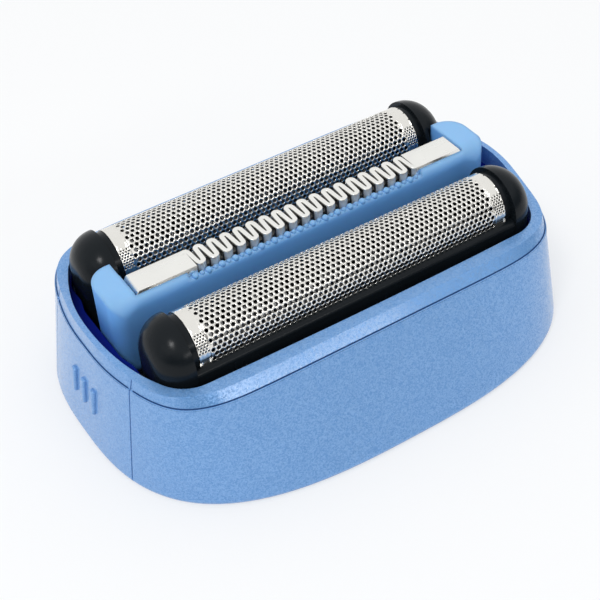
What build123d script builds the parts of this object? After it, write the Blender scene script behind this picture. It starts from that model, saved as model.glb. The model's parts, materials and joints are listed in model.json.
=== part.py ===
"""Shaver foil head: two floating foils and a floating centre trimmer in a moulded housing.

Sizes are in millimetres. X is the long way, the front faces -Y, Z is up, and z = 0 is the underside.
"""

import os
from math import cos, radians, sin

from build123d import *

os.makedirs("parts", exist_ok=True)

# Stack of heights, counted up from the underside.
plate_z = 3.9
plate_thickness = 1.3
spring_post_height = 1.1
post_clear = 0.3
frame_body = 6.95
rim_below_axis = 1.3

# Fits that hold for every moving piece.
slide_gap = 0.15
side_gap = 0.3
float_travel = 1.5
stroke = 1.0

# Foils.
foil_half_x = 20.0
foil_y = 8.16
foil_r = 3.46
foil_sheet = 0.1
foil_leg = 3.15
foil_rows = 5
foil_row_angle = 28.0
foil_columns = 24
foil_end_band = 0.8
foil_hole_share = 0.31

# Foil frames.
rail_width = 0.94
cheek_gap = 0.5
cheek_length = 4.0
cheek_rise = 3.75
cheek_round = 3.4
rail_round = 0.6
rail_step = 0.1
saddle_width = 0.6
lip_reach = 0.9
lip_height = 1.2

# Cutters under the foils.
blade_gap = 0.16
blade_thickness = 0.25
blade_count = 24
blade_ring = 0.8
blade_seat = 0.4
blade_end = 0.5
cutter_bar_half_y = 1.9
cutter_bar_below_axis = 2.35
cutter_bar_thickness = 1.3
cutter_bar_r = 0.8
flange_half_x = 8.6
flange_thickness = 0.7
flange_r = 1.0
post_x = 6.0
post_r = 0.75
post_gap = 0.1
boss_half_x = 3.0
boss_r = 1.0
boss_above_plate = 0.3
drive_bore_r = 1.4
drive_bore_depth = 4.5
cutter_wire = 0.25
cutter_turns = 2

# Centre trimmer.
comb_overhang = 0.82
comb_half_y = 1.54
comb_above_axis = 3.02
comb_sheet = 0.25
comb_height = 1.94
tooth_count = 18
tooth_pitch = 1.65
tooth_width = 0.46
tooth_slot = 0.38
tooth_zone_margin = 0.35
carrier_half_y = 2.2
carrier_lip_drop = 0.24
carrier_tooth_drop = 1.04
carrier_overhang = 0.5
carrier_front_r = 1.3
carrier_front_sink = 0.02
carrier_edge_r = 0.15
block_rear_y = 4.5
block_rear_r = 2.6
block_front_r = 1.6
comb_end_gap = 0.5
block_edge_r = 2.4
block_edge_run = 1.8
carrier_rear_drop = 1.8
channel_half_y = 1.3
channel_depth = 7.5
blade_margin = 0.6
blade_half_y = 1.1
blade_sheet = 0.2
blade_height = 2.94
slider_inset = 0.4
slider_neck_half_x = 4.0
slider_neck_half_y = 0.8
slider_foot_half_y = 1.5
slider_foot_r = 0.7
slider_top_gap = 0.2
slider_foot_clear = 0.4
slider_bore_r = 0.8
slider_bore_depth = 2.4

# Snap legs and float springs at both ends of each floating unit.
leg_thickness = 0.8
leg_half_y = 1.1
leg_drop = 1.3
leg_lap = 0.5
leg_inset = 1.1
trimmer_leg_out = 0.5
barb_reach = 0.5
barb_height = 0.3
spring_out = 1.5
spring_r = 1.05
spring_wire = 0.3
spring_turns = 4
spring_pocket_r = 1.4
spring_pocket_depth = 0.9
spring_post_r = 0.7
spring_post_chamfer = 0.2
spring_end_gap = 0.1

# Housing outlines, each from the one inside it. A power of 2 is an ellipse, a higher one is squarer,
# and the power of an outline goes from one value at its ends to another along its sides.
opening_clear_x = 2.05
opening_clear_y = 1.2
opening_end_bow = 4.2
opening_side_bow = 0.35
opening_corner_r = 4.4
rim_width_x = 0.75
rim_width_y = 1.55
rim_end_power = 2.6
rim_side_power = 13.0
end_rise = 0.75
end_rise_half_y = 10.5
facet_out_x = 0.2
facet_out_y = 1.05
facet_drop = 1.2
facet_step = 0.15
crown_end_power = 3.0
crown_side_power = 9.5
flare_x = 1.95
flare_y = 5.55
base_power = 2.8
outline_points = 48
lower_wall = 1.8
shoulder_step_x = 0.6
shoulder_step_y = 2.2
shoulder_step_r = 4.0
shoulder_lap = 0.5
base_edge_r = 0.6
seam_top_y = 8.4
seam_low_y = 9.3
seam_width = 0.16
seam_depth = 0.14

# Base plate that carries the springs and the snap legs.
plate_gap = 0.15
latch_width = 8.0
latch_height = 0.7
latch_reach = 0.9
window_r = 0.8
vent_width = 5.0
vent_share = 0.45

plate_top = plate_z + plate_thickness
shoulder_z = plate_top
frame_z = plate_top + spring_post_height + float_travel + post_clear
foil_axis_z = frame_z + frame_body
foil_leg_z = foil_axis_z - foil_leg
rim_z = foil_axis_z - rim_below_axis
frame_half_x = foil_half_x + cheek_length
frame_half_y = foil_r + rail_width
cheek_half_x = foil_half_x + cheek_gap
saddle_half_x = foil_half_x - saddle_width
cheek_top = foil_axis_z + cheek_rise
arch_z = cheek_top - frame_half_y
slot_half_y = foil_r
lip_half_y = slot_half_y - lip_reach
foil_pitch = 2 * (saddle_half_x - foil_end_band) / (foil_columns - 0.5)
foil_hole_r = foil_hole_share * foil_pitch
blade_r = foil_r - foil_sheet - blade_gap
cutter_bar_half_x = saddle_half_x - stroke - side_gap
cutter_bar_top = foil_axis_z - cutter_bar_below_axis
cutter_bar_z = cutter_bar_top - cutter_bar_thickness
blade_pitch = 2 * (cutter_bar_half_x - blade_end) / (blade_count - 1)
flange_z = frame_z + lip_height + slide_gap
flange_top = flange_z + flange_thickness
boss_half_y = lip_half_y - side_gap
boss_z = plate_z + boss_above_plate
comb_top = foil_axis_z + comb_above_axis
comb_half_x = foil_half_x + comb_overhang
comb_foot_z = comb_top - comb_height
comb_inner_half_y = comb_half_y - comb_sheet
tooth_zone_half_x = tooth_count * tooth_pitch / 2 + tooth_zone_margin
carrier_lip_z = comb_top - carrier_lip_drop
carrier_tooth_z = comb_top - carrier_tooth_drop
carrier_rear_z = comb_top - carrier_rear_drop
carrier_end_x = frame_half_x + carrier_overhang
block_edge_x = comb_half_x + comb_end_gap
block_soft_x = block_edge_x + block_edge_run
channel_floor_z = comb_top - channel_depth
blade_half_x = tooth_zone_half_x + blade_margin
blade_foot_z = comb_top - blade_height
slider_half_x = blade_half_x - slider_inset
slider_foot_top = frame_z - slider_foot_clear
leg_z = plate_z - leg_drop
leg_x = frame_half_x - leg_inset
trimmer_leg_x = leg_x + trimmer_leg_out
spring_x = foil_half_x + spring_out
opening_half_x = carrier_end_x + opening_clear_x
opening_half_y = foil_y + frame_half_y + opening_clear_y
rim_half_x = opening_half_x + rim_width_x
rim_half_y = opening_half_y + rim_width_y
facet_z = rim_z - facet_drop
end_rim_z = rim_z + end_rise
crown_half_x = rim_half_x + facet_out_x
crown_half_y = rim_half_y + facet_out_y
base_half_x = crown_half_x + flare_x
base_half_y = crown_half_y + flare_y
latch_x = base_half_x - flare_x * plate_z / facet_z - lower_wall
vent_x = foil_half_x * (1 + vent_share) / 2
vent_length = foil_half_x * vent_share


def across(x, y=0.0):
    """A plane square to X, drawn in Y and Z, at the given x and y."""
    return Plane(origin=(x, y, 0), x_dir=(0, 1, 0), z_dir=(1, 0, 0))


def rounded_outline(half_x, half_y, end_power, side_power):
    """A smooth closed outline between an ellipse and a rectangle."""
    points = []
    for step in range(outline_points):
        angle = radians(360 * step / outline_points)
        power = end_power + (side_power - end_power) * sin(angle) ** 4
        reach = (abs(cos(angle)) ** power + abs(sin(angle)) ** power) ** (-1 / power)
        points.append((half_x * reach * cos(angle), half_y * reach * sin(angle)))
    with BuildSketch() as outline:
        with BuildLine():
            Spline(*points, periodic=True)
        make_face()
    return outline.sketch


def outer_outline(z, inset):
    """The housing's outer outline at a height below the facet, moved in by inset."""
    t = z / facet_z
    return rounded_outline(
        base_half_x - flare_x * t - inset,
        base_half_y - flare_y * t - inset,
        base_power + (crown_end_power - base_power) * t,
        base_power + (crown_side_power - base_power) * t,
    )


def housing_body(inset):
    """The housing as a full block: its flared wall, the leaning facet and the rim, raised at both ends."""
    lean = (facet_drop + end_rise) / facet_drop
    with BuildPart() as body:
        with BuildSketch():
            add(outer_outline(0, inset))
        with BuildSketch(Plane.XY.offset(facet_z)):
            add(outer_outline(facet_z, inset))
        loft()
        with BuildSketch(Plane.XY.offset(facet_z)):
            add(outer_outline(facet_z, inset + facet_step))
        with BuildSketch(Plane.XY.offset(end_rim_z)):
            add(
                rounded_outline(
                    crown_half_x - facet_out_x * lean - inset,
                    crown_half_y - facet_out_y * lean - inset,
                    rim_end_power,
                    rim_side_power,
                )
            )
        loft()
        with BuildSketch(across(-base_half_x - 1)):
            with BuildLine():
                Line((-base_half_y, rim_z), (-end_rise_half_y, rim_z))
                Spline(
                    (-end_rise_half_y, rim_z),
                    (0, end_rim_z),
                    (end_rise_half_y, rim_z),
                    tangents=[(1, 0), (1, 0)],
                )
                Polyline(
                    (end_rise_half_y, rim_z),
                    (base_half_y, rim_z),
                    (base_half_y, end_rim_z + 1),
                    (-base_half_y, end_rim_z + 1),
                    (-base_half_y, rim_z),
                )
            make_face()
        extrude(amount=2 * base_half_x + 2, mode=Mode.SUBTRACT)
    return body.part


def opening_outline(grow_x, grow_y, grow_r):
    """The opening at the rim with its bowed ends, wider and rounder further down."""
    half_x = opening_half_x + grow_x
    half_y = opening_half_y + grow_y
    corner_x = half_x - opening_end_bow - grow_x
    corner_y = half_y - opening_side_bow - grow_y / 2
    with BuildSketch() as outline:
        with BuildLine():
            ThreePointArc((corner_x, -corner_y), (half_x, 0), (corner_x, corner_y))
            ThreePointArc((corner_x, corner_y), (0, half_y), (-corner_x, corner_y))
            ThreePointArc((-corner_x, corner_y), (-half_x, 0), (-corner_x, -corner_y))
            ThreePointArc((-corner_x, -corner_y), (0, -half_y), (corner_x, -corner_y))
        make_face()
        fillet(outline.vertices(), opening_corner_r + grow_r)
    return outline.sketch


def end_blocks(grow):
    """The blocks at both ends of the trimmer carrier from above, grown by a gap."""
    front_y = -carrier_half_y - grow
    rear_y = block_rear_y + grow
    with BuildSketch() as outline:
        with Locations((0, (front_y + rear_y) / 2)):
            Rectangle(2 * (carrier_end_x + grow), rear_y - front_y)
        fillet(outline.vertices().group_by(Axis.Y)[-1], block_rear_r + grow)
        fillet(outline.vertices().group_by(Axis.Y)[0], block_front_r + grow)
        Rectangle(2 * (block_edge_x - grow), 4 * rear_y, mode=Mode.SUBTRACT)
    return outline.sketch


def front_edge_cut(x, r):
    """The corner taken off the carrier's upper front edge to round it, seen along X."""
    centre_y = r - carrier_half_y
    centre_z = carrier_lip_z - r + carrier_front_sink
    with BuildSketch(across(x)) as corner:
        with BuildLine():
            CenterArc((centre_y, centre_z), r, 90, 90)
            Polyline(
                (centre_y - r, centre_z),
                (centre_y - 2 * r, centre_z),
                (centre_y - 2 * r, centre_z + 2 * r),
                (centre_y, centre_z + 2 * r),
                (centre_y, centre_z + r),
            )
        make_face()
    return corner.sketch.face()


# Housing: a lofted shell, wider at its underside, with a narrow leaning facet under the rim.
with BuildPart() as housing_shell:
    add(housing_body(0))
    fillet(housing_shell.edges().group_by(Axis.Z)[0], base_edge_r)
    with BuildSketch():
        add(outer_outline(0, lower_wall))
    with BuildSketch(Plane.XY.offset(shoulder_z)):
        add(outer_outline(shoulder_z, lower_wall))
    loft(mode=Mode.SUBTRACT)
    with BuildSketch(Plane.XY.offset(shoulder_z - shoulder_lap)):
        add(opening_outline(shoulder_step_x, shoulder_step_y, shoulder_step_r))
    with BuildSketch(Plane.XY.offset(rim_z)):
        add(opening_outline(0, 0, 0))
    loft(mode=Mode.SUBTRACT)
    with BuildSketch(Plane.XY.offset(rim_z)):
        add(opening_outline(0, 0, 0))
    extrude(amount=2 * end_rise, mode=Mode.SUBTRACT)
    with BuildSketch(Plane.XY.offset(plate_z - latch_height)):
        with Locations((latch_x, 0), (-latch_x, 0)):
            Rectangle(2 * latch_reach, latch_width)
    extrude(amount=latch_height)

# Fine witness lines of the mould's side cores, cut into the skin of both ends.
with BuildPart() as seam_cutter:
    with BuildSketch(across(-base_half_x - 1)):
        for side in (-1, 1):
            with BuildLine():
                Polyline(
                    (side * seam_low_y, 0),
                    (side * seam_top_y, rim_z),
                    (side * (seam_top_y + seam_width), rim_z),
                    (side * (seam_low_y + seam_width), 0),
                    close=True,
                )
            make_face()
    extrude(amount=2 * base_half_x + 2)
    add(housing_body(seam_depth), mode=Mode.SUBTRACT)

with BuildPart() as housing:
    add(housing_shell.part)
    add(seam_cutter.part, mode=Mode.SUBTRACT)
housing.part.label = "housing_shell"
export_step(housing.part, "parts/housing_shell.step")

# Base plate: pressed up against the housing's shoulder and held by two latches.
leg_middle = leg_x + leg_thickness / 2
trimmer_leg_middle = trimmer_leg_x + leg_thickness / 2
leg_spots = [(sx * leg_middle, sy * foil_y) for sx in (-1, 1) for sy in (-1, 1)]
leg_spots += [(sx * trimmer_leg_middle, 0) for sx in (-1, 1)]
spring_spots = [(sx * spring_x, sy * foil_y) for sx in (-1, 1) for sy in (-1, 0, 1)]
with BuildPart() as base_frame:
    with BuildSketch(Plane.XY.offset(plate_z)):
        add(outer_outline(plate_top, lower_wall + plate_gap))
        with Locations((0, -foil_y), (0, foil_y)):
            RectangleRounded(
                2 * (boss_half_x + stroke + side_gap),
                2 * (boss_half_y + side_gap),
                window_r,
                mode=Mode.SUBTRACT,
            )
        RectangleRounded(
            2 * (boss_half_x + stroke + side_gap),
            2 * (slider_foot_half_y + side_gap),
            window_r,
            mode=Mode.SUBTRACT,
        )
        with Locations(*leg_spots):
            Rectangle(leg_thickness + 2 * slide_gap, 2 * (leg_half_y + slide_gap), mode=Mode.SUBTRACT)
        with Locations(*[(sx * vent_x, sy * foil_y) for sx in (-1, 1) for sy in (-1, 1)]):
            SlotOverall(vent_length, vent_width, mode=Mode.SUBTRACT)
    extrude(amount=plate_thickness)
    with BuildSketch(Plane.XY.offset(plate_top)):
        with Locations(*spring_spots):
            Circle(spring_post_r)
    extrude(amount=spring_post_height)
    chamfer(base_frame.faces().sort_by(Axis.Z)[-6:].edges(), spring_post_chamfer)
base_frame.part.label = "base_frame"
export_step(base_frame.part, "parts/base_frame.step")

# Foil frame: a D-shaped bar with domed ends, open along the middle, with snap legs below.
with BuildPart() as front_foil_frame:
    with BuildSketch(across(-frame_half_x, -foil_y)):
        with BuildLine():
            Polyline(
                (-frame_half_y, arch_z),
                (-frame_half_y, frame_z),
                (frame_half_y, frame_z),
                (frame_half_y, arch_z),
            )
            ThreePointArc((frame_half_y, arch_z), (0, cheek_top), (-frame_half_y, arch_z))
        make_face()
    extrude(amount=2 * frame_half_x)
    end_edges = front_foil_frame.faces().filter_by(Axis.X).edges()
    fillet(end_edges.sort_by(Axis.Z)[2:], cheek_round)
    with BuildSketch(across(-cheek_half_x, -foil_y)):
        with Locations((0, arch_z)):
            Rectangle(4 * frame_half_y, 8 * frame_half_y)
        with Locations((0, arch_z - 2 * frame_half_y)):
            rail_width_y = 2 * (frame_half_y - rail_step)
            RectangleRounded(rail_width_y, 4 * frame_half_y, rail_round, mode=Mode.SUBTRACT)
    extrude(amount=2 * cheek_half_x, mode=Mode.SUBTRACT)
    with BuildSketch(Plane(origin=(0, -foil_y, frame_z + lip_height))):
        Rectangle(2 * foil_half_x, 2 * slot_half_y)
    extrude(amount=2 * frame_half_y, mode=Mode.SUBTRACT)
    with BuildSketch(Plane(origin=(0, -foil_y, frame_z))):
        Rectangle(2 * saddle_half_x, 2 * lip_half_y)
    extrude(amount=2 * lip_height, mode=Mode.SUBTRACT)
    saddle_low = frame_z + lip_height
    with BuildSketch(across(-cheek_half_x, -foil_y), across(saddle_half_x, -foil_y)):
        with Locations((0, foil_axis_z)):
            Circle(foil_r - foil_sheet)
        with Locations((0, foil_axis_z - foil_r)):
            Rectangle(4 * foil_r, 2 * foil_r, mode=Mode.SUBTRACT)
        with Locations((0, (saddle_low + foil_axis_z) / 2)):
            Rectangle(2 * (foil_r - foil_sheet), foil_axis_z - saddle_low)
    extrude(amount=cheek_half_x - saddle_half_x)
    with BuildSketch(Plane(origin=(0, -foil_y, frame_z))):
        with Locations((spring_x, 0), (-spring_x, 0)):
            Circle(spring_pocket_r)
    extrude(amount=spring_pocket_depth, mode=Mode.SUBTRACT)
    for side in (-1, 1):
        with BuildSketch(Plane.XZ.offset(foil_y - leg_half_y)):
            with BuildLine():
                Polyline(
                    (side * leg_x, frame_z + leg_lap),
                    (side * leg_x, leg_z),
                    (side * (leg_x + leg_thickness), leg_z),
                    (side * (leg_x + leg_thickness + barb_reach), plate_z - slide_gap - barb_height),
                    (side * (leg_x + leg_thickness + barb_reach), plate_z - slide_gap),
                    (side * (leg_x + leg_thickness), plate_z - slide_gap),
                    (side * (leg_x + leg_thickness), frame_z + leg_lap),
                    close=True,
                )
            make_face()
        extrude(amount=2 * leg_half_y)
front_foil_frame.part.label = "front_foil_frame"
export_step(front_foil_frame.part, "parts/front_foil_frame.step")

# The rear frame is the front one turned round, with its cheeks hollowed for the carrier's end blocks.
with BuildPart() as rear_foil_frame:
    add(front_foil_frame.part, rotation=(0, 0, 180))
    with BuildSketch(Plane.XY.offset(frame_z)):
        add(end_blocks(side_gap))
    extrude(amount=2 * frame_half_y + frame_body, mode=Mode.SUBTRACT)
rear_foil_frame.part.label = "rear_foil_frame"
export_step(rear_foil_frame.part, "parts/rear_foil_frame.step")

# Foil: a thin arched sheet with coarse holes that stand for its fine perforation.
with BuildPart() as front_foil:
    inner_r = foil_r - foil_sheet
    with BuildSketch(across(-foil_half_x, -foil_y)):
        with BuildLine():
            Line((-foil_r, foil_leg_z), (-foil_r, foil_axis_z))
            ThreePointArc((-foil_r, foil_axis_z), (0, foil_axis_z + foil_r), (foil_r, foil_axis_z))
            Polyline(
                (foil_r, foil_axis_z),
                (foil_r, foil_leg_z),
                (inner_r, foil_leg_z),
                (inner_r, foil_axis_z),
            )
            ThreePointArc((inner_r, foil_axis_z), (0, foil_axis_z + inner_r), (-inner_r, foil_axis_z))
            Polyline((-inner_r, foil_axis_z), (-inner_r, foil_leg_z), (-foil_r, foil_leg_z))
        make_face()
    extrude(amount=2 * foil_half_x)
    for row in range(foil_rows):
        angle = radians((row - (foil_rows - 1) / 2) * foil_row_angle)
        normal = (0, sin(angle), cos(angle))
        shift = (row % 2 - 0.5) * foil_pitch / 2
        middle = (shift, -foil_y + inner_r * 0.8 * sin(angle), foil_axis_z + inner_r * 0.8 * cos(angle))
        with BuildSketch(Plane(origin=middle, x_dir=(1, 0, 0), z_dir=normal)):
            with GridLocations(foil_pitch, 1, foil_columns, 1):
                RegularPolygon(foil_hole_r, 6)
        extrude(amount=foil_r * 0.4, mode=Mode.SUBTRACT)
front_foil.part.label = "front_foil"
export_step(front_foil.part, "parts/front_foil.step")

with BuildPart() as rear_foil:
    add(front_foil.part, rotation=(0, 0, 180))
rear_foil.part.label = "rear_foil"
export_step(rear_foil.part, "parts/rear_foil.step")

# Cutter blades: thin arches in a row, seated in grooves of the cutter bar.
blade_spots = [(i - (blade_count - 1) / 2) * blade_pitch for i in range(blade_count)]
blade_planes = [across(x - blade_thickness / 2, -foil_y) for x in blade_spots]
blade_foot = cutter_bar_top - blade_seat
with BuildPart() as front_cutter_blades:
    with BuildSketch(*blade_planes):
        with Locations((0, foil_axis_z)):
            Circle(blade_r)
            Circle(blade_r - blade_ring, mode=Mode.SUBTRACT)
        with Locations((0, cutter_bar_top - 2 * blade_r)):
            Rectangle(4 * blade_r, 4 * blade_r, mode=Mode.SUBTRACT)
        with Locations((0, (blade_foot + cutter_bar_top + blade_ring) / 2)):
            Rectangle(2 * cutter_bar_half_y, cutter_bar_top + blade_ring - blade_foot)
    extrude(amount=blade_thickness)
front_cutter_blades.part.label = "front_cutter_blades"
export_step(front_cutter_blades.part, "parts/front_cutter_blades.step")

with BuildPart() as rear_cutter_blades:
    add(front_cutter_blades.part, rotation=(0, 0, 180))
rear_cutter_blades.part.label = "rear_cutter_blades"
export_step(rear_cutter_blades.part, "parts/rear_cutter_blades.step")

# Cutter bar: holds the blades and slides on two guide posts.
with BuildPart() as front_cutter_carrier:
    with BuildSketch(Plane(origin=(0, -foil_y, cutter_bar_z))):
        RectangleRounded(2 * cutter_bar_half_x, 2 * cutter_bar_half_y, cutter_bar_r)
        with Locations((post_x, 0), (-post_x, 0)):
            Circle(post_r + post_gap, mode=Mode.SUBTRACT)
    extrude(amount=blade_foot - cutter_bar_z)
    with BuildSketch(Plane(origin=(0, -foil_y, blade_foot))):
        RectangleRounded(2 * cutter_bar_half_x, 2 * cutter_bar_half_y, cutter_bar_r)
    extrude(amount=blade_seat)
    with BuildSketch(*blade_planes):
        with Locations((0, blade_foot + blade_seat)):
            Rectangle(4 * cutter_bar_half_y, 2 * blade_seat)
    extrude(amount=blade_thickness, mode=Mode.SUBTRACT)
front_cutter_carrier.part.label = "front_cutter_carrier"
export_step(front_cutter_carrier.part, "parts/front_cutter_carrier.step")

with BuildPart() as rear_cutter_carrier:
    add(front_cutter_carrier.part, rotation=(0, 0, 180))
rear_cutter_carrier.part.label = "rear_cutter_carrier"
export_step(rear_cutter_carrier.part, "parts/rear_cutter_carrier.step")

# Cutter driver: a flange on the frame's lips, guide posts above and the drive boss below.
with BuildPart() as front_cutter_driver:
    with BuildSketch(Plane(origin=(0, -foil_y, flange_z))):
        RectangleRounded(2 * flange_half_x, 2 * (slot_half_y - slide_gap), flange_r)
    extrude(amount=flange_thickness)
    with BuildSketch(Plane(origin=(0, -foil_y, flange_top))):
        with Locations((post_x, 0), (-post_x, 0)):
            Circle(post_r)
    extrude(amount=blade_foot - post_gap - flange_top)
    with BuildSketch(Plane(origin=(0, -foil_y, boss_z))):
        RectangleRounded(2 * boss_half_x, 2 * boss_half_y, boss_r)
    extrude(amount=flange_z - boss_z)
    with BuildSketch(Plane(origin=(0, -foil_y, boss_z))):
        Circle(drive_bore_r)
    extrude(amount=drive_bore_depth, mode=Mode.SUBTRACT)
front_cutter_driver.part.label = "front_cutter_driver"
export_step(front_cutter_driver.part, "parts/front_cutter_driver.step")

with BuildPart() as rear_cutter_driver:
    add(front_cutter_driver.part, rotation=(0, 0, 180))
rear_cutter_driver.part.label = "rear_cutter_driver"
export_step(rear_cutter_driver.part, "parts/rear_cutter_driver.step")


def coil(radius, wire, z_low, z_high, turns):
    """A compression spring on the Z axis between two heights."""
    rise = z_high - z_low - wire
    with BuildPart() as spring:
        with BuildLine():
            path = Helix(rise / turns, rise, radius, center=(0, 0, z_low + wire / 2))
        with BuildSketch(Plane(origin=path @ 0, z_dir=path % 0)):
            RegularPolygon(wire / 2, 8)
        sweep(path=path, is_frenet=True)
    return spring.part


# Cutter springs: two short coils round the guide posts.
cutter_coil = coil(post_r + cutter_wire + post_gap, cutter_wire, flange_top, cutter_bar_z, cutter_turns)
with BuildPart() as front_cutter_springs:
    with Locations((post_x, -foil_y), (-post_x, -foil_y)):
        add(cutter_coil)
front_cutter_springs.part.label = "front_cutter_springs"
export_step(front_cutter_springs.part, "parts/front_cutter_springs.step")

with BuildPart() as rear_cutter_springs:
    add(front_cutter_springs.part, rotation=(0, 0, 180))
rear_cutter_springs.part.label = "rear_cutter_springs"
export_step(rear_cutter_springs.part, "parts/rear_cutter_springs.step")

# Float springs: a pair under each floating unit, standing on the base plate.
float_coil_top = frame_z + spring_pocket_depth - spring_end_gap
float_coil = coil(spring_r, spring_wire, plate_top, float_coil_top, spring_turns)
with BuildPart() as front_float_springs:
    with Locations((spring_x, -foil_y), (-spring_x, -foil_y)):
        add(float_coil)
front_float_springs.part.label = "front_float_springs"
export_step(front_float_springs.part, "parts/front_float_springs.step")

with BuildPart() as rear_float_springs:
    add(front_float_springs.part, rotation=(0, 0, 180))
rear_float_springs.part.label = "rear_float_springs"
export_step(rear_float_springs.part, "parts/rear_float_springs.step")

with BuildPart() as trimmer_float_springs:
    with Locations((spring_x, 0), (-spring_x, 0)):
        add(float_coil)
trimmer_float_springs.part.label = "trimmer_float_springs"
export_step(trimmer_float_springs.part, "parts/trimmer_float_springs.step")

# Trimmer carrier: a narrow wall between the foils, lower behind the comb, and round blocks at its ends.
front_edge_spots = [
    (-carrier_end_x - block_front_r, block_edge_r),
    (-block_soft_x, block_edge_r),
    (-block_edge_x, carrier_front_r),
    (block_edge_x, carrier_front_r),
    (block_soft_x, block_edge_r),
    (carrier_end_x + block_front_r, block_edge_r),
]
with BuildPart() as trimmer_carrier:
    with BuildSketch(Plane.XY.offset(frame_z)):
        add(end_blocks(0))
        Rectangle(2 * block_edge_x, 2 * carrier_half_y)
    extrude(amount=carrier_lip_z - frame_z)
    fillet(trimmer_carrier.faces().sort_by(Axis.Z)[-1].edges(), carrier_edge_r)
    loft([front_edge_cut(x, r) for x, r in front_edge_spots], ruled=True, mode=Mode.SUBTRACT)
    with BuildSketch(Plane.XY.offset(carrier_rear_z)):
        with Locations((0, comb_half_y + carrier_half_y)):
            Rectangle(2 * block_edge_x, 2 * carrier_half_y)
    extrude(amount=carrier_lip_z, mode=Mode.SUBTRACT)
    with BuildSketch(Plane.XY.offset(carrier_tooth_z)):
        Rectangle(2 * tooth_zone_half_x, 4 * carrier_half_y)
    extrude(amount=carrier_lip_z, mode=Mode.SUBTRACT)
    with BuildSketch(Plane.XY.offset(comb_foot_z)):
        Rectangle(2 * block_edge_x, 2 * comb_half_y)
    extrude(amount=carrier_lip_z, mode=Mode.SUBTRACT)
    with BuildSketch(Plane.XY.offset(channel_floor_z)):
        Rectangle(2 * (blade_half_x + stroke + side_gap), 2 * channel_half_y)
    extrude(amount=carrier_lip_z, mode=Mode.SUBTRACT)
    with BuildSketch(Plane.XY.offset(frame_z)):
        Rectangle(2 * (slider_neck_half_x + stroke + side_gap), 2 * (slider_neck_half_y + slide_gap))
        with Locations((spring_x, 0), (-spring_x, 0)):
            Circle(spring_pocket_r)
    extrude(amount=spring_pocket_depth, mode=Mode.SUBTRACT)
    with BuildSketch(Plane.XY.offset(frame_z)):
        Rectangle(2 * (slider_neck_half_x + stroke + side_gap), 2 * (slider_neck_half_y + slide_gap))
    extrude(amount=channel_floor_z - frame_z, mode=Mode.SUBTRACT)
    for side in (-1, 1):
        with BuildSketch(Plane.XZ.offset(-leg_half_y)):
            with BuildLine():
                Polyline(
                    (side * trimmer_leg_x, frame_z + leg_lap),
                    (side * trimmer_leg_x, leg_z),
                    (side * (trimmer_leg_x + leg_thickness), leg_z),
                    (side * (trimmer_leg_x + leg_thickness + barb_reach), plate_z - slide_gap - barb_height),
                    (side * (trimmer_leg_x + leg_thickness + barb_reach), plate_z - slide_gap),
                    (side * (trimmer_leg_x + leg_thickness), plate_z - slide_gap),
                    (side * (trimmer_leg_x + leg_thickness), frame_z + leg_lap),
                    close=True,
                )
            make_face()
        extrude(amount=2 * leg_half_y)
trimmer_carrier.part.label = "trimmer_carrier"
export_step(trimmer_carrier.part, "parts/trimmer_carrier.step")

# Trimmer comb: a folded steel strip that zigzags between two plain end plates.
tooth_spots = [(i - (tooth_count - 1) / 2) * tooth_pitch for i in range(tooth_count)]
slot_low = carrier_tooth_z
teeth_half_x = tooth_count * tooth_pitch / 2
turn_y = comb_half_y - tooth_width / 2
with BuildPart() as trimmer_comb:
    with BuildSketch(Plane.XY.offset(slot_low)):
        Rectangle(2 * comb_half_x, 2 * comb_half_y)
        Rectangle(2 * teeth_half_x, 2 * comb_half_y, mode=Mode.SUBTRACT)
        for x in tooth_spots:
            SlotCenterPoint((x - tooth_pitch / 4, 0), (x, turn_y), tooth_width)
            SlotCenterPoint((x + tooth_pitch / 4, 0), (x, turn_y), tooth_width)
    extrude(amount=comb_top - slot_low)
    with BuildSketch(Plane.XY.offset(comb_foot_z)):
        Rectangle(2 * comb_half_x, 2 * comb_half_y)
    extrude(amount=slot_low - comb_foot_z)
    with BuildSketch(Plane.XY.offset(comb_foot_z)):
        Rectangle(2 * (comb_half_x - comb_sheet), 2 * comb_inner_half_y)
    extrude(amount=comb_top - comb_sheet - comb_foot_z, mode=Mode.SUBTRACT)
trimmer_comb.part.label = "trimmer_comb"
export_step(trimmer_comb.part, "parts/trimmer_comb.step")

# Moving trimmer blade: a second folded strip that slides just under the comb.
blade_top = comb_top - comb_sheet - slide_gap
with BuildPart() as trimmer_blade:
    with BuildSketch(across(-blade_half_x)):
        with Locations((0, (blade_foot_z + blade_top) / 2)):
            Rectangle(2 * blade_half_y, blade_top - blade_foot_z)
        with Locations((0, (blade_foot_z + blade_top) / 2 - blade_sheet)):
            Rectangle(2 * (blade_half_y - blade_sheet), blade_top - blade_foot_z, mode=Mode.SUBTRACT)
    extrude(amount=2 * blade_half_x)
    with BuildSketch(Plane.XY.offset(carrier_tooth_z)):
        with Locations(*[(x, y) for x in tooth_spots for y in (-blade_half_y, blade_half_y)]):
            Rectangle(tooth_slot, blade_half_y)
    extrude(amount=comb_top - slot_low, mode=Mode.SUBTRACT)
trimmer_blade.part.label = "trimmer_blade"
export_step(trimmer_blade.part, "parts/trimmer_blade.step")

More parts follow.
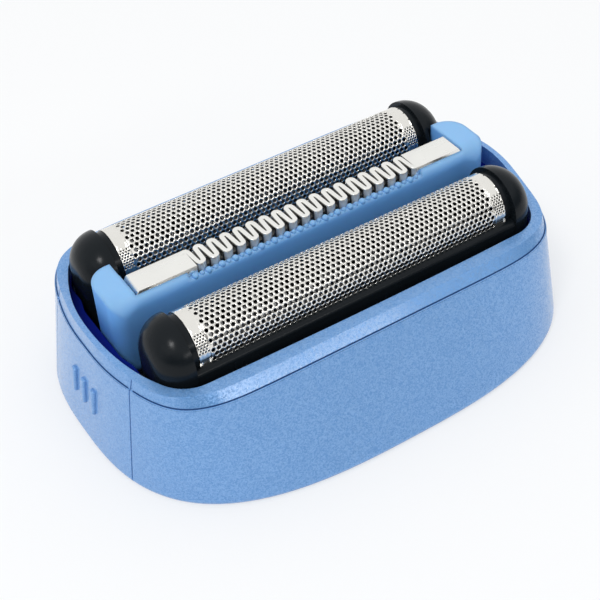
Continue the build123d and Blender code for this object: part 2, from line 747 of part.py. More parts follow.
# Trimmer slider: carries the moving blade, and its foot takes the drive pin.
with BuildPart() as trimmer_slider:
    with BuildSketch(Plane.XY.offset(channel_floor_z + slide_gap)):
        Rectangle(2 * slider_half_x, 2 * blade_half_y)
    extrude(amount=blade_foot_z - channel_floor_z - slide_gap)
    with BuildSketch(Plane.XY.offset(blade_foot_z)):
        Rectangle(2 * slider_half_x, 2 * (blade_half_y - blade_sheet))
    extrude(amount=carrier_tooth_z - slider_top_gap - blade_foot_z)
    with BuildSketch(Plane.XY.offset(slider_foot_top)):
        Rectangle(2 * slider_neck_half_x, 2 * slider_neck_half_y)
    extrude(amount=channel_floor_z + slide_gap - slider_foot_top)
    with BuildSketch(Plane.XY.offset(boss_z)):
        RectangleRounded(2 * boss_half_x, 2 * slider_foot_half_y, slider_foot_r)
    extrude(amount=slider_foot_top - boss_z)
    with BuildSketch(Plane.XY.offset(boss_z)):
        Circle(slider_bore_r)
    extrude(amount=slider_bore_depth, mode=Mode.SUBTRACT)
trimmer_slider.part.label = "trimmer_slider"
export_step(trimmer_slider.part, "parts/trimmer_slider.step")
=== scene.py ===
"""Looks of the shaver foil head: its finishes, fine foils and comb, small details, light and camera."""

import json
from math import cos, pi, radians, sin, sqrt

import bmesh
import bpy
from mathutils import Matrix, Vector
from mathutils.bvhtree import BVHTree


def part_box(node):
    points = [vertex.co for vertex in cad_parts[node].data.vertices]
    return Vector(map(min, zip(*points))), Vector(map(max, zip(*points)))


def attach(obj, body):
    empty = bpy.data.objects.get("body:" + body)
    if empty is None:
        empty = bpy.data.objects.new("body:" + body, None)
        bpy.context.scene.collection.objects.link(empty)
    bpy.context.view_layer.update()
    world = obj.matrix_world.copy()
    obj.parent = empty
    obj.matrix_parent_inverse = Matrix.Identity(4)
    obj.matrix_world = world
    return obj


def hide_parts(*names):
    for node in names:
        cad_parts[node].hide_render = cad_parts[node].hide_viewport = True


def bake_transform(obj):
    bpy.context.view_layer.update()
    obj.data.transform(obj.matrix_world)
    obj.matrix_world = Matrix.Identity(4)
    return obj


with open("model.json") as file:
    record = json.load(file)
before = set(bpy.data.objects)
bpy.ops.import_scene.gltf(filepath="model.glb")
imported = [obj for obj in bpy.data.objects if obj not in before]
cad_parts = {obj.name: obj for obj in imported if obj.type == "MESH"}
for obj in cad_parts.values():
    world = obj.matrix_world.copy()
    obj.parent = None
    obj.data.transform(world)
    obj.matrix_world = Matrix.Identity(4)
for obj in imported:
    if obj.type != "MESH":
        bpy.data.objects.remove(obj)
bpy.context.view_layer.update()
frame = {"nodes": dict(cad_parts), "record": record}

MM = 0.001

# Camera, as the photograph was taken.
CAMERA_AZIMUTH = radians(-30.09)
CAMERA_ELEVATION = radians(42.21)
CAMERA_ROLL = radians(-3.93)
CAMERA_DISTANCE = 161.19 * MM
CAMERA_AIM = Vector((0.40, 2.03, 2.77)) * MM
CAMERA_LENS = 81.32
CAMERA_SENSOR = 36
CAMERA_CLIP = (0.01, 20)

# Perforated foils.
FOIL_SHEET = 0.07 * MM
FOIL_HOLES_IN_ROW = 57
FOIL_END_GAP = 0.35 * MM
FOIL_END_BAND = 1.4 * MM
FOIL_BELOW_AXIS = 0.7 * MM
FOIL_HOLE_SHARE = 0.69
FINE_PITCH_SHARE = 0.5
FINE_HOLE_SHARE = 0.58
BAND_ANGLE = radians(40)
PATCH_ANGLE = radians(78)
HALF_RING = 6
HOLE_POINT_SHARE = 1.06
EDGE_TILE_SHARE = 0.45
POINTS_PER_METRE = 1e8

# Trimmer comb: a strip that winds between two end plates, with folded legs under its front turns.
LOOP_COUNT = 18
LOOP_PITCH = 1.65 * MM
STRIP_WIDTH = 0.55 * MM
STRIP_SHEET = 0.25 * MM
STRIP_ROUND = 0.05 * MM
TURN_RADIUS = 0.35 * MM
TURN_STEPS = 12
LEG_STEPS = 4
LEG_DEPTH = 1.3 * MM
LEG_SPREAD = radians(62)
PLATE_DEPTH = 1.2 * MM
PLATE_LAP = 0.43 * MM
PLATE_SUNK = 0.012 * MM
PLATE_ROUND = 0.07 * MM
PLATE_FOLD = 0.36 * MM
PLATE_FOLD_DROP = 0.5 * MM

# Small moulded bumps along the front edge of the trimmer carrier, large and small by turns.
BUMP_COUNT = 36
BUMP_PITCH = LOOP_PITCH / 2
BUMP_RADII = (0.40 * MM, 0.29 * MM)
BUMP_SEGMENTS = 14
BUMP_RINGS = 8
BUMP_OUT = 0.32 * MM
BUMP_DROP = 1.04 * MM

# Float springs under each moving unit.
FLOAT_SPRINGS = {
    "front_foil_unit": "front_float_springs",
    "rear_foil_unit": "rear_float_springs",
    "trimmer_unit": "trimmer_float_springs",
}

# Three plain raised bars on each end of the housing.
BAR_SPOTS = (-2.2 * MM, 0.0, 2.2 * MM)
BAR_HEIGHT = 6.6 * MM
BAR_SIZE = (0.9 * MM, 3.2 * MM, 0.8 * MM)
BAR_EDGE = 0.2 * MM
BAR_EDGE_STEPS = 3
BAR_SUNK = 0.05 * MM

# Dark inner ledge of the housing round the ends of the moving pieces.
LEDGE_TOP = 12.0 * MM
LEDGE_THICK = 1.2 * MM
LEDGE_GAP = 0.1 * MM
LEDGE_CORNER = 3.7 * MM
LEDGE_CORNER_Y = 9.2 * MM
LEDGE_HALF_Y = 12.6 * MM
LEDGE_STEPS = 96
LEDGE_CLEAR_Y = 0.5 * MM
LEDGE_BLEND_Y = 2.8 * MM
LEDGE_SUNK = 0.15 * MM

# Painted shadow line: a thin dark strip under the housing's leaning facet.
SHADOW_LINE_HEIGHT = 12.5 * MM
SHADOW_LINE_RISE = 0.15 * MM
SHADOW_LINE_OUT = 0.015 * MM
SHADOW_LINE_SUNK = 0.1 * MM
SHADOW_LINE_STEPS = 360

# Soft edges of the lacquered housing and of the trimmer carrier.
EDGE_RADIUS = 0.09 * MM
CARRIER_EDGE_RADIUS = 0.7 * MM

# Edges that stay sharp in shading, and a start for ray casts well outside the housing.
SHARP_ANGLE = radians(40)
FAR_OUT = 60 * MM

# Studio: the floor, the sky's level by direction, and each lamp's place, width and height, and power.
FLOOR_HALF = 3.0
FLOOR_COLOUR = (0.92, 0.925, 0.93, 1)
PAPER_WHITE = (0.95, 0.955, 0.96, 1)
PAPER_SHARE = 0.55
SKY_COLOUR = (0.98, 0.99, 1.0, 1)
SKY_LEVELS = (0.07, 0.95)
SKY_BRIGHT_ABOVE = (0.22, 0.62)
SKY_BRIGHT_BEHIND = (-0.45, 0.35)
LAMPS = {
    "cheek_lamp": ((-0.30, -0.19, 0.51), (0.13, 0.13), 0.9),
    "facet_lamp": ((0.098, -0.553, 0.262), (0.36, 0.06), 0.45),
    "left_lamp": ((-0.60, -0.15, 0.25), (0.35, 0.35), 0.15),
}


def add_node(tree, kind, inputs=None, **settings):
    """A new shader node with its settings and the plain values of its inputs."""
    made = tree.nodes.new(kind)
    for name, value in settings.items():
        setattr(made, name, value)
    for name, value in (inputs or {}).items():
        made.inputs[name].default_value = value
    return made


def new_group(name, inputs, outputs):
    """An empty shader group: its tree and its input and output nodes."""
    tree = bpy.data.node_groups.new(name, "ShaderNodeTree")
    for socket, value in inputs.items():
        made = tree.interface.new_socket(socket, in_out="INPUT", socket_type="NodeSocketFloat")
        made.default_value = value
    for socket, kind in outputs.items():
        tree.interface.new_socket(socket, in_out="OUTPUT", socket_type=kind)
    return tree, tree.nodes.new("NodeGroupInput"), tree.nodes.new("NodeGroupOutput")


def place_group(tree, group, values):
    """One copy of a shared group in a material, with its own values."""
    made = tree.nodes.new("ShaderNodeGroup")
    made.node_tree = group
    for name, value in values.items():
        made.inputs[name].default_value = value
    return made


def make_flake_group():
    """Fine metal flakes in a lacquer: a speckle of light and dark grains, each tilted its own way."""
    outputs = {"Speckle": "NodeSocketFloat", "Normal": "NodeSocketVector"}
    tree, given, result = new_group("lacquer_flakes", {"Scale": 6000.0, "Tilt": 0.3}, outputs)
    place = add_node(tree, "ShaderNodeTexCoord")
    cells = add_node(tree, "ShaderNodeTexVoronoi", feature="F1")
    split = add_node(tree, "ShaderNodeSeparateColor")
    surface = add_node(tree, "ShaderNodeBevel", {"Radius": EDGE_RADIUS}, samples=6)
    centred = add_node(tree, "ShaderNodeVectorMath", operation="SUBTRACT")
    centred.inputs[1].default_value = (0.5, 0.5, 0.5)
    tilted = add_node(tree, "ShaderNodeVectorMath", operation="SCALE")
    leaning = add_node(tree, "ShaderNodeVectorMath", operation="ADD")
    unit = add_node(tree, "ShaderNodeVectorMath", operation="NORMALIZE")
    tree.links.new(place.outputs["Object"], cells.inputs["Vector"])
    tree.links.new(given.outputs["Scale"], cells.inputs["Scale"])
    tree.links.new(cells.outputs["Color"], split.inputs["Color"])
    tree.links.new(cells.outputs["Color"], centred.inputs[0])
    tree.links.new(centred.outputs["Vector"], tilted.inputs[0])
    tree.links.new(given.outputs["Tilt"], tilted.inputs["Scale"])
    tree.links.new(surface.outputs["Normal"], leaning.inputs[0])
    tree.links.new(tilted.outputs["Vector"], leaning.inputs[1])
    tree.links.new(leaning.outputs["Vector"], unit.inputs[0])
    tree.links.new(split.outputs["Red"], result.inputs["Speckle"])
    tree.links.new(unit.outputs["Vector"], result.inputs["Normal"])
    return tree


def make_grain_group():
    """Moulded plastic: a fine skin texture and broad soft patches of handling."""
    outputs = {"Height": "NodeSocketFloat", "Patch": "NodeSocketFloat"}
    tree, given, result = new_group("moulded_grain", {"Scale": 2500.0, "Patch Scale": 120.0}, outputs)
    place = add_node(tree, "ShaderNodeTexCoord")
    skin = add_node(tree, "ShaderNodeTexNoise", {"Detail": 3.0, "Roughness": 0.55})
    patch = add_node(tree, "ShaderNodeTexNoise", {"Detail": 4.0, "Roughness": 0.6})
    tree.links.new(place.outputs["Object"], skin.inputs["Vector"])
    tree.links.new(place.outputs["Object"], patch.inputs["Vector"])
    tree.links.new(given.outputs["Scale"], skin.inputs["Scale"])
    tree.links.new(given.outputs["Patch Scale"], patch.inputs["Scale"])
    tree.links.new(skin.outputs["Fac"], result.inputs["Height"])
    tree.links.new(patch.outputs["Fac"], result.inputs["Patch"])
    return tree


def make_streak_group():
    """Rolled and ground metal: fine streaks along the sheet and slow changes of tone."""
    outputs = {"Streak": "NodeSocketFloat", "Tone": "NodeSocketFloat"}
    tree, given, result = new_group("rolled_streaks", {"Scale": 900.0, "Tone Scale": 350.0}, outputs)
    place = add_node(tree, "ShaderNodeTexCoord")
    squeeze = add_node(tree, "ShaderNodeMapping", {"Scale": (0.12, 1.0, 1.0)})
    streak = add_node(tree, "ShaderNodeTexNoise", {"Detail": 3.0, "Roughness": 0.65})
    tone = add_node(tree, "ShaderNodeTexNoise", {"Detail": 2.0, "Roughness": 0.5})
    tree.links.new(place.outputs["Object"], squeeze.inputs["Vector"])
    tree.links.new(squeeze.outputs["Vector"], streak.inputs["Vector"])
    tree.links.new(place.outputs["Object"], tone.inputs["Vector"])
    tree.links.new(given.outputs["Scale"], streak.inputs["Scale"])
    tree.links.new(given.outputs["Tone Scale"], tone.inputs["Scale"])
    tree.links.new(streak.outputs["Fac"], result.inputs["Streak"])
    tree.links.new(tone.outputs["Fac"], result.inputs["Tone"])
    return tree


def new_finish(name, constants):
    """A material with one Principled shader, whose constants are set on its own sockets."""
    material = bpy.data.materials.new(name)
    material.use_nodes = True
    tree = material.node_tree
    shader = tree.nodes["Principled BSDF"]
    for socket, value in constants.items():
        shader.inputs[socket].default_value = value
    return material, tree, shader


def blend_colour(tree, factor, dark, light, shader):
    """Base colour between two tones, by a value that changes over the surface."""
    ramp = add_node(tree, "ShaderNodeMix", data_type="RGBA")
    ramp.inputs["A"].default_value = (*dark, 1)
    ramp.inputs["B"].default_value = (*light, 1)
    tree.links.new(factor, ramp.inputs["Factor"])
    tree.links.new(ramp.outputs["Result"], shader.inputs["Base Color"])


def spread_roughness(tree, value, low, high, shader):
    """Roughness between two levels, by a value that changes over the surface."""
    levels = {"From Min": 0.3, "From Max": 0.7, "To Min": low, "To Max": high}
    spread = add_node(tree, "ShaderNodeMapRange", levels)
    tree.links.new(value, spread.inputs["Value"])
    tree.links.new(spread.outputs["Result"], shader.inputs["Roughness"])


def roughen(tree, height, strength, distance, shader):
    """A fine bump from a height that changes over the surface, given back for its own normal."""
    bump = add_node(tree, "ShaderNodeBump", {"Strength": strength, "Distance": distance})
    tree.links.new(height, bump.inputs["Height"])
    tree.links.new(bump.outputs["Normal"], shader.inputs["Normal"])
    return bump


flakes = make_flake_group()
grain = make_grain_group()
streaks = make_streak_group()


def blue_lacquer():
    """Metallic blue lacquer with fine flakes under a thin clear coat."""
    gloss = {"Metallic": 0.4, "Coat Roughness": 0.1, "Specular IOR Level": 0.5}
    material, tree, shader = new_finish("blue_lacquer", gloss)
    speckle = place_group(tree, flakes, {"Scale": 7600.0, "Tilt": 0.26})
    patch = place_group(tree, grain, {"Scale": 1500.0, "Patch Scale": 90.0})
    blend_colour(tree, speckle.outputs["Speckle"], (0.115, 0.295, 0.62), (0.205, 0.41, 0.75), shader)
    spread_roughness(tree, patch.outputs["Patch"], 0.34, 0.42, shader)
    coat = add_node(tree, "ShaderNodeMapRange", {"To Min": 0.35, "To Max": 1.0})
    tree.links.new(speckle.outputs["Speckle"], coat.inputs["Value"])
    tree.links.new(coat.outputs["Result"], shader.inputs["Coat Weight"])
    tree.links.new(speckle.outputs["Normal"], shader.inputs["Normal"])
    return material


def satin_blue():
    """Satin light-blue moulded plastic, with painted light: paler where it faces up, and a deeper blue as
    painted shade on its walls.
    """
    gloss = {"Specular IOR Level": 0.28, "Subsurface Weight": 0.1, "Subsurface Scale": 0.5 * MM}
    material, tree, shader = new_finish("satin_blue", gloss)
    skin = place_group(tree, grain, {"Scale": 2600.0, "Patch Scale": 150.0})
    surface = add_node(tree, "ShaderNodeBevel", {"Radius": CARRIER_EDGE_RADIUS}, samples=6)
    split = add_node(tree, "ShaderNodeSeparateXYZ")
    # Painted light: the colour goes paler where the surface faces up and a deeper, darker blue on the
    # walls, standing in for light from above and shade on the sides. The grain's broad patches add a real
    # random tone.
    painted_top_light = add_node(tree, "ShaderNodeMapRange", {"From Min": -0.1, "From Max": 0.9})
    pale = add_node(tree, "ShaderNodeMath", operation="MULTIPLY_ADD")
    pale.inputs[1].default_value = 0.25
    tree.links.new(surface.outputs["Normal"], split.inputs["Vector"])
    tree.links.new(split.outputs["Z"], painted_top_light.inputs["Value"])
    tree.links.new(skin.outputs["Patch"], pale.inputs[0])
    tree.links.new(painted_top_light.outputs["Result"], pale.inputs[2])
    blend_colour(tree, pale.outputs["Value"], (0.11, 0.35, 0.82), (0.245, 0.48, 0.79), shader)
    spread_roughness(tree, skin.outputs["Patch"], 0.38, 0.48, shader)
    bump = roughen(tree, skin.outputs["Height"], 0.1, 0.02 * MM, shader)
    tree.links.new(surface.outputs["Normal"], bump.inputs["Normal"])
    return material


def semi_gloss_black():
    """Semi-gloss black moulded plastic."""
    material, tree, shader = new_finish("semi_gloss_black", {"Specular IOR Level": 0.15})
    skin = place_group(tree, grain, {"Scale": 1800.0, "Patch Scale": 130.0})
    blend_colour(tree, skin.outputs["Patch"], (0.005, 0.007, 0.009), (0.008, 0.011, 0.014), shader)
    spread_roughness(tree, skin.outputs["Patch"], 0.20, 0.28, shader)
    roughen(tree, skin.outputs["Height"], 0.08, 0.02 * MM, shader)
    return material


def dull_plastic(name, dark, light, gloss=0.3):
    """Matt moulded plastic for the pieces inside."""
    material, tree, shader = new_finish(name, {"Specular IOR Level": gloss})
    skin = place_group(tree, grain, {"Scale": 2200.0, "Patch Scale": 170.0})
    blend_colour(tree, skin.outputs["Patch"], dark, light, shader)
    spread_roughness(tree, skin.outputs["Patch"], 0.48, 0.62, shader)
    roughen(tree, skin.outputs["Height"], 0.2, 0.03 * MM, shader)
    return material


def sheet_metal(name, dark, light, rough_low, rough_high, bump):
    """Bare sheet metal with fine rolling streaks."""
    material, tree, shader = new_finish(name, {"Metallic": 1.0})
    rolled = place_group(tree, streaks, {"Scale": 1200.0, "Tone Scale": 420.0})
    blend_colour(tree, rolled.outputs["Tone"], dark, light, shader)
    spread_roughness(tree, rolled.outputs["Streak"], rough_low, rough_high, shader)
    roughen(tree, rolled.outputs["Streak"], bump, 0.02 * MM, shader)
    return material


finishes = {
    "housing_blue": blue_lacquer(),
    "carrier_blue": satin_blue(),
    "frame_black": semi_gloss_black(),
    "base_grey": dull_plastic("base_grey", (0.12, 0.13, 0.145), (0.17, 0.18, 0.2)),
    "cutter_grey": dull_plastic("cutter_grey", (0.10, 0.10, 0.11), (0.15, 0.15, 0.16)),
    "driver_white": dull_plastic("driver_white", (0.66, 0.66, 0.63), (0.76, 0.76, 0.73)),
    "foil_nickel": sheet_metal("foil_nickel", (0.79, 0.77, 0.72), (0.88, 0.86, 0.81), 0.16, 0.24, 0.08),
    "comb_steel": sheet_metal("comb_steel", (0.86, 0.85, 0.81), (0.93, 0.92, 0.88), 0.24, 0.34, 0.10),
    "blade_steel": sheet_metal("blade_steel", (0.14, 0.14, 0.14), (0.22, 0.22, 0.22), 0.30, 0.45, 0.2),
    "spring_steel": sheet_metal("spring_steel", (0.52, 0.52, 0.52), (0.64, 0.64, 0.63), 0.25, 0.40, 0.2),
}
deep_blue = dull_plastic("deep_blue", (0.001, 0.008, 0.16), (0.002, 0.012, 0.22), 0.06)
# Painted shade: dark blue for the strip that stands in for the shadow line under the housing's facet.
painted_shadow_blue = dull_plastic("painted_shadow_blue", (0.012, 0.045, 0.14), (0.018, 0.06, 0.18), 0.1)
comb_fold = sheet_metal("comb_fold", (0.66, 0.65, 0.62), (0.78, 0.77, 0.74), 0.55, 0.70, 0.1)
# Painted shade: the foil's inner face is near black, standing in for the shade under the arch seen
# through the holes.
foil_inside_painted_shade = sheet_metal("foil_inside_painted_shade", (0.03, 0.03, 0.03), (0.06, 0.06, 0.06), 0.40, 0.55, 0.2)


def dress_cad_nodes():
    """Gives every CAD node the finish of its slot in the record."""
    for subpart in frame["record"]["subparts"]:
        data = frame["nodes"][subpart["node"]].data
        data.materials.clear()
        data.materials.append(finishes[subpart["material_slot"]])


def new_piece(name, mesh, slot, body):
    """A mesh piece with the finish of a slot, riding on a CAD body."""
    piece = bpy.data.objects.new(name, mesh)
    bpy.context.scene.collection.objects.link(piece)
    mesh.materials.append(finishes[slot])
    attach(piece, body)
    return piece


def mesh_from(form, name):
    """A smooth-shaded mesh from an edit mesh, which is freed."""
    mesh = bpy.data.meshes.new(name)
    form.to_mesh(mesh)
    form.free()
    for polygon in mesh.polygons:
        polygon.use_smooth = True
    return mesh


def flat_mesh_from(form, name):
    """A mesh from an edit mesh, shaded smooth except over sharp edges."""
    mesh = mesh_from(form, name)
    mesh.set_sharp_from_angle(angle=SHARP_ANGLE)
    return mesh


def tile_zone(sheet, wrap, zone, pitch, hole_share):
    """Hexagon tiles over one zone of the unrolled sheet, each with a hole unless hole_share is 0."""
    x_low, x_high, s_low, s_high = zone
    columns = max(1, round((x_high - x_low) / pitch))
    step_x = (x_high - x_low) / columns
    rows = max(1, round((s_high - s_low) / (pitch * sin(radians(60)))))
    step_s = (s_high - s_low) / rows
    corner_s = step_s * 2 / 3
    half = [
        (0, corner_s), (0.25 * step_x, corner_s * 0.75), (0.5 * step_x, corner_s * 0.5),
        (0.5 * step_x, 0), (0.5 * step_x, -corner_s * 0.5), (0.25 * step_x, -corner_s * 0.75),
    ]
    outline = half + [(-x, -s) for x, s in half]
    points = {}

    def vertex(x, s):
        x = min(max(x, x_low), x_high)
        s = min(max(s, s_low), s_high)
        key = (round(x * POINTS_PER_METRE), round(s * POINTS_PER_METRE))
        if key not in points:
            points[key] = sheet.verts.new(wrap(x, s))
        return points[key]

    def face(corners):
        distinct = list(dict.fromkeys(corners))
        if len(distinct) > 2:
            sheet.faces.new(reversed(distinct))

    for row in range(-1, rows + 1):
        middle_s = s_low + (row + 0.5) * step_s
        for column in range(-1, columns + 1):
            middle_x = x_low + (column + 0.5 + 0.5 * (row % 2)) * step_x
            if not x_low - step_x < middle_x < x_high + step_x:
                continue
            ring = [vertex(middle_x + x, middle_s + s) for x, s in outline]
            inside = (
                x_low + EDGE_TILE_SHARE * step_x < middle_x < x_high - EDGE_TILE_SHARE * step_x
                and s_low + EDGE_TILE_SHARE * step_s < middle_s < s_high - EDGE_TILE_SHARE * step_s
            )
            if not inside or not hole_share:
                face(ring)
                continue
            hole = []
            for i in range(len(ring)):
                turn = pi / 2 - i * pi / HALF_RING
                reach = hole_share * pitch / 2 * (1.0 if i % 2 else HOLE_POINT_SHARE)
                hole.append(vertex(middle_x + reach * cos(turn), middle_s + reach * sin(turn)))
            for i in range(len(ring)):
                j = (i + 1) % len(ring)
                face([ring[i], ring[j], hole[j], hole[i]])


def fine_foil(node, body):
    """A perforated foil: hundreds of fine holes in a thin arched sheet, instead of the coarse CAD one."""
    low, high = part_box(node)
    middle_y = (low.y + high.y) / 2
    radius = (high.y - low.y) / 2
    axis_z = high.z - radius
    quarter = radius * pi / 2

    def wrap(x, s):
        if abs(s) <= quarter:
            return Vector((x, middle_y + radius * sin(s / radius), axis_z + radius * cos(s / radius)))
        side = 1 if s > 0 else -1
        return Vector((x, middle_y + side * radius, axis_z - (abs(s) - quarter)))

    end_x = high.x - FOIL_END_GAP
    field_x = end_x - FOIL_END_BAND
    field_s = quarter + FOIL_BELOW_AXIS
    leg_s = quarter + axis_z - low.z
    pitch = 2 * field_x / FOIL_HOLES_IN_ROW
    fine_pitch = pitch * FINE_PITCH_SHARE
    band_s = radius * BAND_ANGLE
    patch_s = radius * PATCH_ANGLE
    sheet = bmesh.new()
    tile_zone(sheet, wrap, (-field_x, field_x, -field_s, field_s), pitch, FOIL_HOLE_SHARE)
    for x_low, x_high in ((-end_x, -field_x), (field_x, end_x)):
        tile_zone(sheet, wrap, (x_low, x_high, -band_s, band_s), pitch, 0)
        for side in (-1, 1):
            patch = sorted((side * band_s, side * patch_s))
            plain = sorted((side * patch_s, side * field_s))
            tile_zone(sheet, wrap, (x_low, x_high, *patch), fine_pitch, FINE_HOLE_SHARE)
            tile_zone(sheet, wrap, (x_low, x_high, *plain), pitch, 0)
    for side in (-1, 1):
        leg = sorted((side * field_s, side * leg_s))
        tile_zone(sheet, wrap, (-end_x, end_x, *leg), 2 * pitch, 0)
    piece = new_piece("fine_" + node, mesh_from(sheet, "fine_" + node), "foil_nickel", body)
    piece.data.materials.append(foil_inside_painted_shade)
    thick = piece.modifiers.new("sheet", "SOLIDIFY")
    thick.thickness = FOIL_SHEET
    thick.offset = -1
    # The inner face takes the near-black finish of painted shade.
    thick.material_offset = 1
    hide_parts(node)


def solid_through(form, rings, finish=0, endless=False):
    """A solid through rings of points, in one of the mesh's finishes, with flat caps unless endless."""
    rings = [[form.verts.new(point) for point in ring] for ring in rings]
    count = len(rings[0])
    faces = []
    following = rings[1:] + rings[:1] if endless else rings[1:]
    if not endless:
        faces += [form.faces.new(rings[0]), form.faces.new(reversed(rings[-1]))]
    for first, second in zip(rings, following):
        for i in range(count):
            j = (i + 1) % count
            faces.append(form.faces.new((first[i], second[i], second[j], first[j])))
    for face in faces:
        face.material_index = finish


def sweep(form, path, profile, finish=0):
    """Sweeps a closed profile of (across, height) points along a flat path of (x, y, z, direction)."""
    rings = []
    for x, y, z, heading in path:
        side = Vector((sin(heading), -cos(heading), 0))
        rings.append([Vector((x, y, z + up)) + side * across for across, up in profile])
    solid_through(form, rings, finish)


def strip_profile(low, high, drop, rounding):
    """A strip's cross-section between two sides, with its upper edges rounded."""
    points = [(low, -drop), (low, -rounding)]
    for turn in (radians(60), radians(30)):
        points.append((low + rounding * (1 - cos(turn)), -rounding * (1 - sin(turn))))
    points += [(low + rounding, 0), (high - rounding, 0)]
    for turn in (radians(30), radians(60)):
        points.append((high - rounding * (1 - cos(turn)), -rounding * (1 - sin(turn))))
    return points + [(high, -rounding), (high, -drop)]


def fine_comb():
    """The trimmer comb as one winding strip with round turns, folded legs and plain end plates."""
    low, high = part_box("trimmer_comb")
    turn_y = high.y - TURN_RADIUS - STRIP_WIDTH / 2
    form = bmesh.new()
    path = []
    for i in range(2 * LOOP_COUNT):
        side = 1 if i % 2 == 0 else -1
        middle_x = (i / 2 - (LOOP_COUNT - 1) / 2) * LOOP_PITCH
        for step in range(TURN_STEPS + 1):
            turn = pi - step * pi / TURN_STEPS
            x = middle_x + TURN_RADIUS * cos(turn)
            path.append((x, side * (turn_y + TURN_RADIUS * sin(turn)), high.z, side * (turn - pi / 2)))
    sweep(form, path, strip_profile(-STRIP_WIDTH / 2, STRIP_WIDTH / 2, STRIP_SHEET, STRIP_ROUND))
    leg_radius = TURN_RADIUS + STRIP_WIDTH / 2
    for i in range(LOOP_COUNT):
        middle_x = (i + 0.5 - (LOOP_COUNT - 1) / 2) * LOOP_PITCH
        leg = []
        for step in range(-LEG_STEPS, LEG_STEPS + 1):
            turn = pi / 2 - step * LEG_SPREAD / LEG_STEPS
            x = middle_x + leg_radius * cos(turn)
            leg.append((x, -turn_y - leg_radius * sin(turn), high.z - STRIP_ROUND, pi / 2 - turn))
        sweep(form, leg, ((-STRIP_SHEET, 0), (0, 0), (0, -LEG_DEPTH), (-STRIP_SHEET, -LEG_DEPTH)), 1)
    plate = strip_profile(low.y, high.y, PLATE_DEPTH, PLATE_ROUND)
    plate_z = high.z - PLATE_SUNK
    fold_z = high.z - PLATE_FOLD_DROP
    left = ((low.x - PLATE_FOLD, fold_z), (low.x, plate_z), (path[0][0] + PLATE_LAP, plate_z))
    right = ((path[-1][0] - PLATE_LAP, plate_z), (high.x, plate_z), (high.x + PLATE_FOLD, fold_z))
    for stops in (left, right):
        sweep(form, [(x, 0, z, 0) for x, z in stops], plate)
    bmesh.ops.recalc_face_normals(form, faces=form.faces)
    piece = new_piece("fine_comb", flat_mesh_from(form, "fine_comb"), "comb_steel", "trimmer_unit")
    piece.data.materials.append(comb_fold)
    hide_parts("trimmer_comb")


def carrier_bumps():
    """A row of small rounded bumps along the front upper edge of the trimmer carrier."""
    low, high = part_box("trimmer_comb")
    form = bmesh.new()
    for i in range(BUMP_COUNT):
        x = (i - (BUMP_COUNT - 1) / 2) * BUMP_PITCH
        place = Matrix.Translation((x, low.y - BUMP_OUT, high.z - BUMP_DROP))
        segments = {"u_segments": BUMP_SEGMENTS, "v_segments": BUMP_RINGS}
        bmesh.ops.create_uvsphere(form, **segments, radius=BUMP_RADII[i % 2], matrix=place)
    new_piece("carrier_bumps", mesh_from(form, "carrier_bumps"), "carrier_blue", "trimmer_unit")


def sprung_coils():
    """Float springs as plain copies of the CAD coils, left where they stand, in place of the hidden CAD
    nodes.
    """
    for unit, node in FLOAT_SPRINGS.items():
        coils = bpy.data.objects.new("sprung_" + node, frame["nodes"][node].data.copy())
        bpy.context.scene.collection.objects.link(coils)
        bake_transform(coils)
        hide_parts(node)


def housing_surface():
    """The housing's surface, ready for ray casts."""
    bpy.context.view_layer.update()
    return BVHTree.FromObject(frame["nodes"]["housing_shell"], bpy.context.evaluated_depsgraph_get())


def inner_ledge(tree):
    """A dark ledge inside each end of the housing, close round the frames and the carrier."""
    block_low, block_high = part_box("trimmer_carrier")
    frame_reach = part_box("rear_foil_frame")[1].x + LEDGE_GAP
    block_reach = block_high.x + LEDGE_GAP
    form = bmesh.new()
    for side in (-1, 1):
        rings = []
        for step in range(LEDGE_STEPS + 1):
            y = LEDGE_HALF_Y * (2 * step / LEDGE_STEPS - 1)
            past = max(0, abs(y) - LEDGE_CORNER_Y)
            inner_x = frame_reach - LEDGE_CORNER + sqrt(LEDGE_CORNER ** 2 - past ** 2)
            away = max(0, block_low.y - y, y - block_high.y) - LEDGE_CLEAR_Y
            share = min(max(away / LEDGE_BLEND_Y, 0), 1)
            inner_x += (block_reach - frame_reach) * (0.5 + 0.5 * cos(pi * share))
            spot, _, _, _ = tree.ray_cast(Vector((0, y, LEDGE_TOP)), Vector((side, 0, 0)))
            outer_x = abs(spot.x) + LEDGE_SUNK
            if outer_x < inner_x + 2 * LEDGE_SUNK:
                continue
            corners = ((inner_x, 0), (outer_x, 0), (outer_x, -LEDGE_THICK), (inner_x, -LEDGE_THICK))
            rings.append([Vector((side * x, y, LEDGE_TOP + drop)) for x, drop in corners])
        solid_through(form, rings)
    bmesh.ops.recalc_face_normals(form, faces=form.faces)
    piece = new_piece("inner_ledge", flat_mesh_from(form, "inner_ledge"), "housing_blue", "housing")
    piece.data.materials[0] = deep_blue


